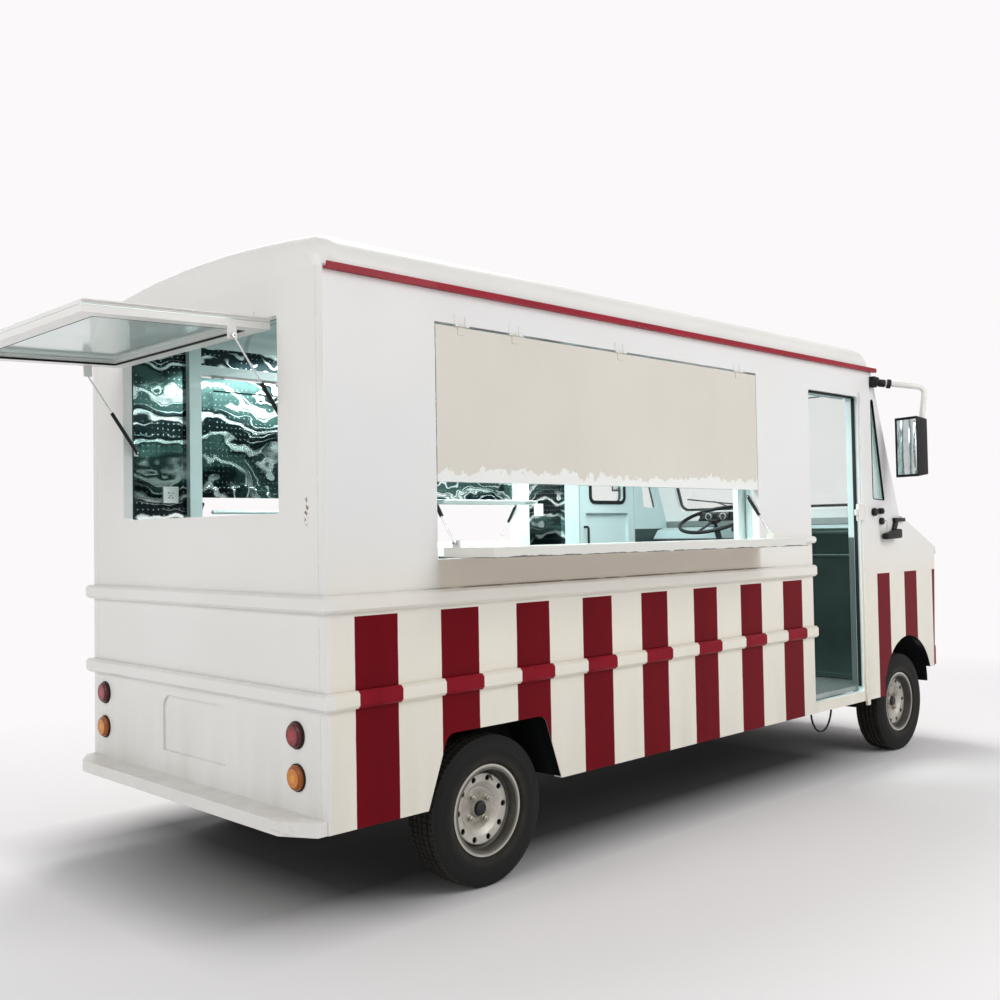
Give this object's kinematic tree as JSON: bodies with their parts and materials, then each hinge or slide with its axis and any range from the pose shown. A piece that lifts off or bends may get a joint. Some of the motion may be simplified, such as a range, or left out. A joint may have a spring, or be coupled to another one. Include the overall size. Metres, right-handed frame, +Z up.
{
  "type": "electric food truck",
  "caption": "Electric step-van food truck with folding serving counters, lifting side flaps and rear hatch on gas struts, a sliding door and a swing door.",
  "frame": {"origin": "on the ground, under the middle of the truck's box as it parks with its rear hatch open", "axes": "+X to the front, +Y to the truck's left, +Z up"},
  "size_m": [6.1264, 2.592, 2.7454],
  "materials": {
    "body_cream": "gloss",
    "roof_white": "gloss",
    "red_paint": "gloss",
    "flap_film": "satin",
    "glass": "polished",
    "black_plastic": "matte",
    "black_rubber": "matte",
    "tyre": "matte",
    "rim_paint": "satin",
    "underbody": "matte",
    "stainless": "brushed",
    "post_paint": "satin",
    "zinc": "satin",
    "chrome_rod": "polished",
    "lamp_red": "gloss",
    "lamp_amber": "gloss",
    "lamp_clear": "polished",
    "seat_cloth": "matte"
  },
  "bodies": {
    "body": {"roof": "roof_white", "side_wall_right": "body_cream", "side_wall_left": "body_cream", "rear_wall": "body_cream", "screen_frame": "body_cream", "cab_glass": "glass", "bonnet": "body_cream", "nose": "body_cream", "belt_moldings": "body_cream", "gutters": "red_paint", "rear_bumper": "body_cream", "front_bumper": "red_paint", "tail_lamps": "lamp_red", "indicators": "lamp_amber", "headlamps": "lamp_clear", "mirrors": "black_plastic", "floor": "stainless", "wheel_houses": "underbody", "chassis": "underbody", "battery_box": "underbody", "rear_axle": "underbody", "front_axle": "underbody", "leaf_springs": "underbody", "dashboard": "black_plastic", "seat_frame": "underbody", "seat_cushions": "seat_cloth", "inner_frame": "post_paint", "worktops": "stainless", "hinge_leaves": "zinc", "door_hinges": "zinc", "sill_cable": "black_rubber"},
    "serving_flap_right": {"serving_flap_right": "flap_film"},
    "serving_flap_left": {"serving_flap_left": "body_cream"},
    "counter_right": {"counter_flap_right": "body_cream"},
    "counter_left": {"counter_flap_left": "body_cream"},
    "rear_hatch": {"rear_hatch": "body_cream"},
    "sliding_door": {"sliding_door": "body_cream", "sliding_door_glass": "glass"},
    "swing_door": {"swing_door": "body_cream", "swing_door_glass": "glass"},
    "knuckle_right": {"knuckle_right": "underbody"},
    "knuckle_left": {"knuckle_left": "underbody"},
    "wheel_front_right": {"tyre_front_right": "tyre", "rim_front_right": "rim_paint"},
    "wheel_front_left": {"tyre_front_left": "tyre", "rim_front_left": "rim_paint"},
    "wheel_rear_right": {"tyre_rear_right": "tyre", "rim_rear_right": "rim_paint"},
    "wheel_rear_left": {"tyre_rear_left": "tyre", "rim_rear_left": "rim_paint"},
    "steering_wheel": {"steering_wheel": "black_plastic"},
    "counter_cylinders_right": {"counter_strut_cylinders_right": "black_plastic"},
    "counter_rods_right": {"counter_strut_rods_right": "chrome_rod"},
    "counter_cylinders_left": {"counter_strut_cylinders_left": "black_plastic"},
    "counter_rods_left": {"counter_strut_rods_left": "chrome_rod"},
    "hatch_cylinders": {"hatch_strut_cylinders": "black_plastic"},
    "hatch_rods": {"hatch_strut_rods": "chrome_rod"}
  },
  "joints": [
    {"name": "steer_right", "type": "hinge", "parent": "body", "child": "knuckle_right", "pos_m": [2.48326, -0.786, 0.325], "axis": [0, 0, 1], "range_deg": [-28, 28]},
    {"name": "spin_front_right", "type": "hinge", "parent": "knuckle_right", "child": "wheel_front_right", "pos_m": [2.48326, -0.856, 0.325], "axis": [0, 1, 0], "continuous": true},
    {"name": "spin_rear_right", "type": "hinge", "parent": "body", "child": "wheel_rear_right", "pos_m": [-1.40674, -0.856, 0.325], "axis": [0, 1, 0], "continuous": true},
    {"name": "steer_left", "type": "hinge", "parent": "body", "child": "knuckle_left", "pos_m": [2.48326, 0.786, 0.325], "axis": [0, 0, 1], "range_deg": [-28, 28]},
    {"name": "spin_front_left", "type": "hinge", "parent": "knuckle_left", "child": "wheel_front_left", "pos_m": [2.48326, 0.856, 0.325], "axis": [0, 1, 0], "continuous": true},
    {"name": "spin_rear_left", "type": "hinge", "parent": "body", "child": "wheel_rear_left", "pos_m": [-1.40674, 0.856, 0.325], "axis": [0, 1, 0], "continuous": true},
    {"name": "steering_wheel_turn", "type": "hinge", "parent": "body", "child": "steering_wheel", "pos_m": [2.01826, 0.208, 1.57], "axis": [-0.3637, 0, 0.9315], "range_deg": [-364, 364]},
    {"name": "serving_flap_right_lift", "type": "hinge", "parent": "body", "child": "serving_flap_right", "pos_m": [-0.51474, -0.997, 2.392], "axis": [-1, 0, 0], "range_deg": [0, 95]},
    {"name": "counter_right_fold", "type": "hinge", "parent": "body", "child": "counter_right", "pos_m": [-0.51474, -0.991, 1.42], "axis": [-1, 0, 0], "range_deg": [0, 90]},
    {"name": "counter_cylinders_right_swing", "type": "hinge", "parent": "body", "child": "counter_cylinders_right", "pos_m": [-0.51474, -0.929, 1.7], "axis": [-1, 0, 0], "range_deg": [-34.16, 1]},
    {"name": "counter_rods_right_slide", "type": "slide", "parent": "counter_cylinders_right", "child": "counter_rods_right", "axis": [0, -0.5556, -0.8315], "range_m": [-0.0706, 0.001]},
    {"name": "serving_flap_left_lift", "type": "hinge", "parent": "body", "child": "serving_flap_left", "pos_m": [-0.51474, 0.997, 2.392], "axis": [1, 0, 0], "range_deg": [0, 95]},
    {"name": "counter_left_fold", "type": "hinge", "parent": "body", "child": "counter_left", "pos_m": [-0.51474, 0.991, 1.42], "axis": [1, 0, 0], "range_deg": [0, 90]},
    {"name": "counter_cylinders_left_swing", "type": "hinge", "parent": "body", "child": "counter_cylinders_left", "pos_m": [-0.51474, 0.929, 1.7], "axis": [1, 0, 0], "range_deg": [-34.16, 1]},
    {"name": "counter_rods_left_slide", "type": "slide", "parent": "counter_cylinders_left", "child": "counter_rods_left", "axis": [0, 0.5556, -0.8315], "range_m": [-0.0706, 0.001]},
    {"name": "rear_hatch_close", "type": "hinge", "parent": "body", "child": "rear_hatch", "pos_m": [-2.28774, -0.011, 2.392], "axis": [0, -1, 0], "range_deg": [0, 88]},
    {"name": "hatch_cylinders_swing", "type": "hinge", "parent": "body", "child": "hatch_cylinders", "pos_m": [-2.21674, -0.011, 1.936], "axis": [0, -1, 0], "range_deg": [-39.18, 1]},
    {"name": "hatch_rods_slide", "type": "slide", "parent": "hatch_cylinders", "child": "hatch_rods", "axis": [-0.5683, 0, 0.8228], "range_m": [-0.1661, 0.001]},
    {"name": "sliding_door_slide", "type": "slide", "parent": "body", "child": "sliding_door", "axis": [1, 0, 0], "range_m": [0, 0.634]},
    {"name": "swing_door_open", "type": "hinge", "parent": "body", "child": "swing_door", "pos_m": [2.00526, 0.999, 1.4], "axis": [0, 0, -1], "range_deg": [0, 80]}
  ],
  "couplings": [
    {"joint": "steer_left", "follows": "steer_right", "ratio": 1},
    {"joint": "steering_wheel_turn", "follows": "steer_right", "ratio": 13},
    {"joint": "counter_cylinders_right_swing", "follows": "counter_right_fold", "ratio": -0.36847},
    {"joint": "counter_rods_right_slide", "follows": "counter_right_fold", "m_per_rad": -0.044297},
    {"joint": "counter_cylinders_left_swing", "follows": "counter_left_fold", "ratio": -0.36847},
    {"joint": "counter_rods_left_slide", "follows": "counter_left_fold", "m_per_rad": -0.044297},
    {"joint": "hatch_cylinders_swing", "follows": "rear_hatch_close", "ratio": -0.43389},
    {"joint": "hatch_rods_slide", "follows": "rear_hatch_close", "m_per_rad": -0.10747}
  ]
}
